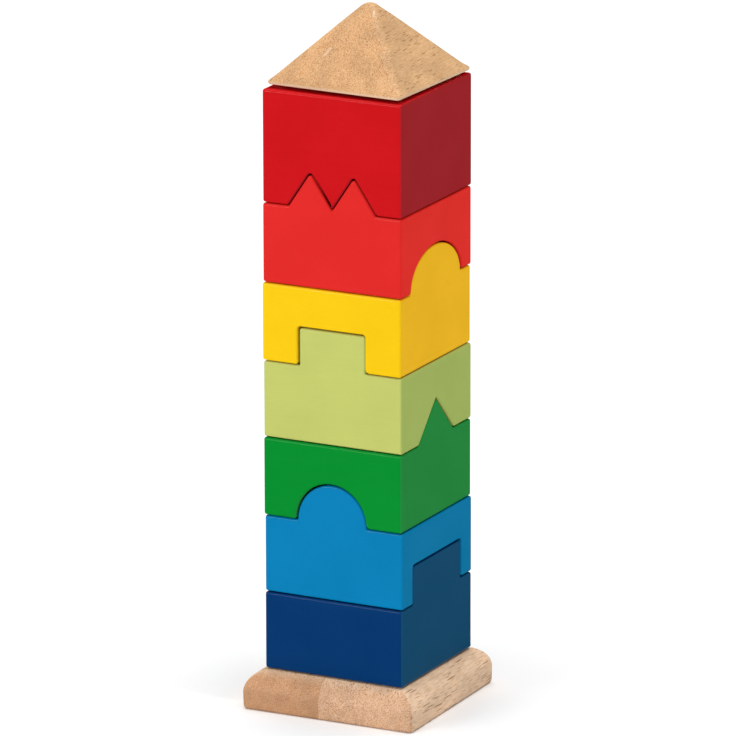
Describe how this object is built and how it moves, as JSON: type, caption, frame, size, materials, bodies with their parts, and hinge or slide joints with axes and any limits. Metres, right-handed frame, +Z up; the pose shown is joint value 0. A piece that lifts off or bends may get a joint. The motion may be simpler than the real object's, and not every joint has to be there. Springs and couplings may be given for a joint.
{
  "type": "wooden stacking tower",
  "caption": "Square wooden stacking tower: coloured blocks with interlocking tongues and grooves on a rod, a rounded base plate and a pyramid roof.",
  "frame": {"origin": "middle of the base plate's underside, on the rod's centre line", "axes": "+Z up along the rod; the tongues of the light blue, light green and light red blocks run along Y and show their outline on the -Y face, the others run along X and show theirs on the +X face"},
  "size_m": [0.0748, 0.0748, 0.279],
  "materials": {
    "base_wood": "unpainted rubberwood, sanded and lightly waxed, end grain on the -Y and +Y faces",
    "rod_wood": "unpainted turned dowel, fine straight grain along its length",
    "roof_wood": "unpainted rubberwood, sanded and lightly waxed, end grain on the -Y and +Y slopes",
    "navy_paint": "navy water-based toy paint on wood, satin, with softly rounded edges",
    "light_blue_paint": "light blue water-based toy paint on wood, satin, with softly rounded edges",
    "green_paint": "green water-based toy paint on wood, satin, with softly rounded edges",
    "light_green_paint": "light green water-based toy paint on wood, satin, with softly rounded edges",
    "yellow_paint": "yellow water-based toy paint on wood, satin, with softly rounded edges",
    "light_red_paint": "light red water-based toy paint on wood, satin, with softly rounded edges",
    "dark_red_paint": "dark red water-based toy paint on wood, satin, with softly rounded edges"
  },
  "bodies": {
    "base": {"base_stave_left": "base_wood", "base_stave_right": "base_wood", "centre_rod": "rod_wood"},
    "navy_block": {"navy_block": "navy_paint"},
    "light_blue_block": {"light_blue_block": "light_blue_paint"},
    "green_block": {"green_block": "green_paint"},
    "light_green_block": {"light_green_block": "light_green_paint"},
    "yellow_block": {"yellow_block": "yellow_paint"},
    "light_red_block": {"light_red_block": "light_red_paint"},
    "dark_red_block": {"dark_red_block": "dark_red_paint"},
    "pyramid_roof": {"pyramid_roof": "roof_wood"}
  },
  "joints": [
    {"name": "navy_block_lift", "type": "slide", "parent": "base", "child": "navy_block", "axis": [0, 0, 1], "range_m": [0, 0.25]},
    {"name": "light_blue_block_lift", "type": "slide", "parent": "navy_block", "child": "light_blue_block", "axis": [0, 0, 1], "range_m": [0, 0.218]},
    {"name": "green_block_lift", "type": "slide", "parent": "light_blue_block", "child": "green_block", "axis": [0, 0, 1], "range_m": [0, 0.188]},
    {"name": "light_green_block_lift", "type": "slide", "parent": "green_block", "child": "light_green_block", "axis": [0, 0, 1], "range_m": [0, 0.156]},
    {"name": "yellow_block_lift", "type": "slide", "parent": "light_green_block", "child": "yellow_block", "axis": [0, 0, 1], "range_m": [0, 0.125]},
    {"name": "light_red_block_lift", "type": "slide", "parent": "yellow_block", "child": "light_red_block", "axis": [0, 0, 1], "range_m": [0, 0.094]},
    {"name": "dark_red_block_lift", "type": "slide", "parent": "light_red_block", "child": "dark_red_block", "axis": [0, 0, 1], "range_m": [0, 0.062]},
    {"name": "pyramid_roof_lift", "type": "slide", "parent": "dark_red_block", "child": "pyramid_roof", "axis": [0, 0, 1], "range_m": [0, 0.016]}
  ]
}
